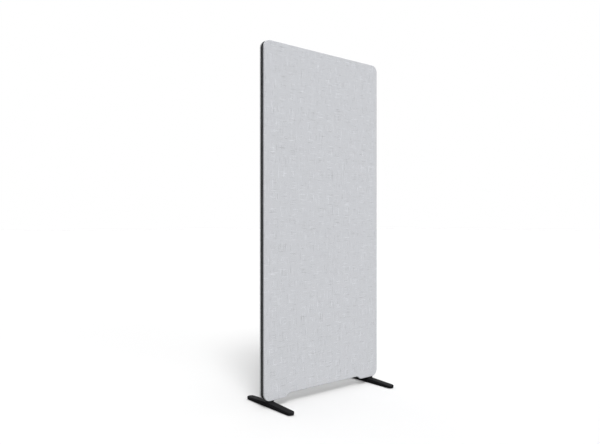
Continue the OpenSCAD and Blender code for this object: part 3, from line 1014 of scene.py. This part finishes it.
@dataclass
class ClothCover:
    """The cloth of one pad, stretched over its face, rolled over its edge and turned in behind.

    Args:
        side: The face of the panel.
        layers: The panel's shared sizes.
        thickness: Thickness of the cloth.
        roll: Radius at the edge of the face.
        fold: Radius where the cloth turns in behind the board.
        turn_in: Width of the turned-in part.
        border: Flat border between the face's grid and its rolled edge.
        wave: Waviness of the stretched cloth.
    """

    side: Side
    layers: PanelLayers
    thickness: float = 0.8 * MM
    roll: float = 3 * MM
    fold: float = 0.95 * MM
    turn_in: float = 16 * MM
    border: float = 0.6 * MM
    wave: Wave = Wave(0.15 * MM, 0.06 * MM, gather=0.22 * MM)
    roll_steps: ClassVar[int] = 8
    fold_steps: ClassVar[int] = 4
    turn_steps: ClassVar[int] = 3

    def profile(self, face: float, back: float, offset: float) -> np.ndarray:
        """The section of the cloth from the edge of the face to its hem.

        It runs over a short flat border, a quarter circle of the roll's radius, the straight side,
        a quarter circle of the fold's radius and the turned-in part. A layer that lies deeper by
        offset has the same centres and radii smaller by offset.

        Args:
            face: Depth of the face.
            back: Depth of the back of the pad.
            offset: Depth of this layer of the cloth below its outer layer.

        Returns:
            Rows of distance outwards, depth, length over the cloth and share of the waviness.
        """
        turn = smooth_steps(0, QUARTER, self.roll_steps)[1:]
        bend = smooth_steps(0, QUARTER, self.fold_steps)
        inwards = smooth_steps(self.fold, self.turn_in, self.turn_steps)[1:]
        edge = self.border + self.roll
        out = np.concatenate([
            [self.border],
            self.border + (self.roll - offset) * np.sin(turn),
            edge - self.fold + (self.fold - offset) * np.cos(bend),
            edge - inwards,
        ])
        depth = np.concatenate([
            [face + offset],
            face + self.roll - (self.roll - offset) * np.cos(turn),
            back - self.fold + (self.fold - offset) * np.sin(bend),
            inwards * 0 + back - offset,
        ])
        steps = np.hypot(np.diff(out, prepend=0.0), np.diff(depth, prepend=face + offset))
        share = np.concatenate([[0.0], np.sin(turn) ** 2, np.cos(bend) ** 2, inwards * 0])
        return np.stack([out, depth, np.cumsum(steps), share], axis=1)

    def build(self) -> bpy.types.Object:
        """Makes the cloth as a closed skin of two layers that meet at the hem.

        Returns:
            The finished piece.
        """
        low, high = corner_box("front_cover")
        face, back = low[1], high[1]
        outline = self.layers.outline()
        inset = self.roll + self.border
        section = self.profile(face, back, 0.0)
        lining = self.profile(face, back, self.thickness)
        outer = outline.layer(inset, face, section, self.wave)
        inner = outline.layer(inset, face + self.thickness, lining, self.wave)
        skin = outer.closed_with(inner.turned_over())
        if self.side is Side.BACK:
            skin = skin.turned_to_back()
        piece = new_piece(f"{self.side.value}_cloth", skin)
        piece.data.materials.append(CLOTH.material())
        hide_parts(f"{self.side.value}_cover")
        return piece


@dataclass
class FoamPad:
    """The foam between board and cloth, with a rounded edge.

    Args:
        side: The face of the panel.
        layers: The panel's shared sizes.
        inset: Distance of its edge from the panel's outline.
        roll: Radius of its rounded edge.
        border: Flat border between the back's grid and its edge.
    """

    side: Side
    layers: PanelLayers
    inset: float = 1.1 * MM
    roll: float = 1.9 * MM
    border: float = 0.3 * MM

    def build(self) -> bpy.types.Object:
        """Makes the foam as two layers that meet at its back edge.

        Returns:
            The finished piece.
        """
        low, high = corner_box("front_foam")
        face, back = low[1], high[1]
        flat = np.array([[self.border, back, self.border, 0.0], [self.roll, back, self.roll, 0.0]])
        outline = self.layers.outline()
        front = outline.layer(self.inset + self.roll, face, rounded_edge(self.roll, face))
        rear = outline.layer(self.inset + self.roll, back, flat)
        skin = front.closed_with(rear.turned_over())
        if self.side is Side.BACK:
            skin = skin.turned_to_back()
        piece = new_piece(f"{self.side.value}_foam_pad", skin)
        piece.data.materials.append(FOAM.material())
        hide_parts(f"{self.side.value}_foam")
        return piece


@dataclass
class AbsorberSlab:
    """A fibre slab between two rails, with softened edges and slightly uneven faces.

    Args:
        place: Which of the three slabs.
        edge: Radius of its edges.
        dip: Greatest dip of its faces.
    """

    place: str
    edge: float = 3 * MM
    dip: float = 0.4 * MM
    step: ClassVar[float] = 0.03
    corner_steps: ClassVar[int] = 5
    turn_per_metre: ClassVar[float] = 10.0

    def build(self) -> bpy.types.Object:
        """Makes the slab as a front and a back half that meet halfway.

        Returns:
            The finished piece.
        """
        low, high = corner_box(f"{self.place}_infill")
        middle = (low[1] + high[1]) / 2
        outline = Outline(
            high[0], low[2], high[2], 2 * self.edge, corner_steps=self.corner_steps, step=self.step,
        )
        wave = Wave(self.dip, side=0.0, turn=low[2] * self.turn_per_metre)
        half = outline.layer(self.edge, low[1], rounded_edge(self.edge, low[1]), wave)
        piece = new_piece(f"{self.place}_slab", half.closed_with(half.mirrored_in_depth(middle)))
        piece.data.materials.append(SLAB.material())
        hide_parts(f"{self.place}_infill")
        return piece


@dataclass
class HardParts:
    """The rigid pieces, whose shapes come from the CAD model and which get their finishes here.

    Args:
        finishes: Finish of each node.
    """

    finishes: dict[str, Finish] = field(init=False)

    def __post_init__(self) -> None:
        """Fills the list of finishes."""
        sides = ("left", "right")
        self.finishes = {
            **{f"{side}_stile": STILE_WOOD for side in sides},
            **{rail: RAIL_WOOD for rail in ("bottom_rail", "lower_mid_rail", "upper_mid_rail", "top_rail")},
            "frame_dowels": DOWEL_WOOD,
            "edge_strip": STRIP,
            **{f"{face.value}_board": FELT for face in Side},
            **{f"{face.value}_clips": CLIP for face in Side},
            **{f"{side}_foot": COAT for side in sides},
            **{f"{side}_spacer": SPACER for side in sides},
            **{f"{side}_bolts": BOLT for side in sides},
            **{f"{side}_washers": WASHER for side in sides},
            **{f"{side}_cross_nuts": NUT for side in sides},
            **{f"{side}_{face.value}_glide": GLIDE_FELT for side in sides for face in Side},
        }

    def dress(self) -> None:
        """Gives each node its finish in place of the one it came with."""
        for name, finish in self.finishes.items():
            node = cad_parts[name]
            node.data.materials.clear()
            node.data.materials.append(finish.material())
            LOG.info("%s: %s", name, finish.name)


@dataclass(frozen=True)
class SoftLamp:
    """A wide lamp far away, so that it lights the whole floor evenly.

    Args:
        heading: Direction from which it comes, seen from above, in degrees from -Y towards -X.
        height: Its height above the horizon, in degrees.
        spread: Its apparent width, in degrees.
        level: Light that it puts on a surface that faces it; at 1 a colour shows as written.
    """

    heading: float
    height: float
    spread: float
    level: float

    def hang(self, name: str) -> None:
        """Adds the lamp to the scene.

        Args:
            name: Name of the lamp.
        """
        light = bpy.data.lights.new(name, "SUN")
        light.energy = self.level * math.pi
        light.angle = math.radians(self.spread)
        lamp = bpy.data.objects.new(name, light)
        bpy.context.scene.collection.objects.link(lamp)
        lamp.rotation_euler = (math.radians(90 - self.height), 0.0, -math.radians(self.heading))


@dataclass
class Studio:
    """A pale floor, a faint even sky, five soft lamps and a low, narrow one that fills the back.

    Args:
        floor_size: Edge length of the floor.
        floor_colour: Tone of the floor as the camera and mirrors see it.
        floor_bounce: Tone of the floor as it lights the object.
        sky: Strength of the sky's light.
        lamps: The lamps by name.
    """

    floor_size: float = 120.0
    floor_colour: float = 0.724
    floor_bounce: float = 0.15
    sky: float = 0.10
    lamps: dict[str, SoftLamp] = field(default_factory=lambda: {
        "front_panel": SoftLamp(-2.0, 5.0, 50.0, 0.61),
        "key_lamp": SoftLamp(30.0, 48.0, 20.0, 0.48),
        "high_lamp": SoftLamp(29.0, 60.0, 21.0, 0.32),
        "rear_panel": SoftLamp(206.0, 49.0, 110.0, 0.52),
        "right_panel": SoftLamp(-61.0, 73.0, 42.0, 0.205),
        "back_fill": SoftLamp(180.0, 1.0, 4.0, 0.25),
    })

    @staticmethod
    def seen(graph: Graph) -> Socket:
        """1 for rays of the camera, of mirrors and through glass, and 0 for rays that carry light.

        Args:
            graph: Graph that takes the nodes.

        Returns:
            The output socket.
        """
        path = graph.node("ShaderNodeLightPath").outputs
        total = graph.math("ADD", path["Is Camera Ray"], path["Is Glossy Ray"])
        return graph.math("MINIMUM", graph.math("ADD", total, path["Is Transmission Ray"]), 1.0)

    def lay_floor(self) -> None:
        """Makes the floor, which keeps the object's shadow."""
        half = self.floor_size / 2
        mesh = bpy.data.meshes.new("studio_floor")
        corners = [(-half, -half, 0), (half, -half, 0), (half, half, 0), (-half, half, 0)]
        mesh.from_pydata(corners, [], [(0, 1, 2, 3)])
        floor = bpy.data.objects.new("studio_floor", mesh)
        bpy.context.scene.collection.objects.link(floor)
        material = bpy.data.materials.new("studio_floor")
        graph = Graph(material)
        shown = graph.node("ShaderNodeBsdfDiffuse", Color=grey(self.floor_colour))
        bounce = graph.node("ShaderNodeBsdfDiffuse", Color=grey(self.floor_bounce))
        mixed = graph.node("ShaderNodeMixShader", Fac=self.seen(graph))
        graph.put(bounce.outputs[0], mixed.inputs[1])
        graph.put(shown.outputs[0], mixed.inputs[2])
        graph.node("ShaderNodeOutputMaterial", Surface=mixed.outputs[0])
        mesh.materials.append(material)

    def hang_sky(self) -> None:
        """Makes the world white to look at and even in its light."""
        world = bpy.data.worlds.new("studio_sky")
        bpy.context.scene.world = world
        graph = Graph(world)
        strength = graph.math("MULTIPLY_ADD", self.seen(graph), 1.0 - self.sky, self.sky)
        sky = graph.node("ShaderNodeBackground", Color=grey(1.0), Strength=strength)
        graph.node("ShaderNodeOutputWorld", Surface=sky.outputs[0])

    def build(self) -> None:
        """Makes floor, sky and lamps, and sets the plain view."""
        self.lay_floor()
        self.hang_sky()
        for name, lamp in self.lamps.items():
            lamp.hang(name)
        bpy.context.scene.view_settings.view_transform = "Standard"


@dataclass
class PhotoCamera:
    """The camera, at the place from which the photograph was taken.

    Args:
        place: Its place in metres.
        heading: Direction in which it looks, in degrees from +Y towards +X.
        lens: Focal length in millimetres.
        sensor: Width of the sensor in millimetres.
        reach: Distance in metres up to which it sees.
    """

    place: tuple[float, float, float] = (-2.0790, -2.2982, 0.9097)
    heading: float = 39.89
    lens: float = 35.0
    sensor: float = 36.0
    reach: float = 500.0

    def build(self) -> None:
        """Makes the camera, level and without shift or depth of field."""
        data = bpy.data.cameras.new("photo_camera")
        data.lens = self.lens
        data.sensor_width = self.sensor
        data.clip_end = self.reach
        camera = bpy.data.objects.new("photo_camera", data)
        bpy.context.scene.collection.objects.link(camera)
        camera.location = self.place
        camera.rotation_euler = (QUARTER, 0.0, -math.radians(self.heading))
        bpy.context.scene.camera = camera


def main() -> None:
    """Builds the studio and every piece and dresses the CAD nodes."""
    logging.basicConfig(level=logging.INFO, format="%(name)s: %(message)s")
    PhotoCamera().build()
    Studio().build()
    layers = PanelLayers()
    pieces = [
        *(FoamPad(side, layers) for side in Side),
        *(ClothCover(side, layers) for side in Side),
        *(AbsorberSlab(place) for place in ("lower", "middle", "upper")),
    ]
    for piece in pieces:
        made = piece.build()
        LOG.info("%s: %d faces", made.name, len(made.data.polygons))
    HardParts().dress()


if __name__ == "__main__":
    main()
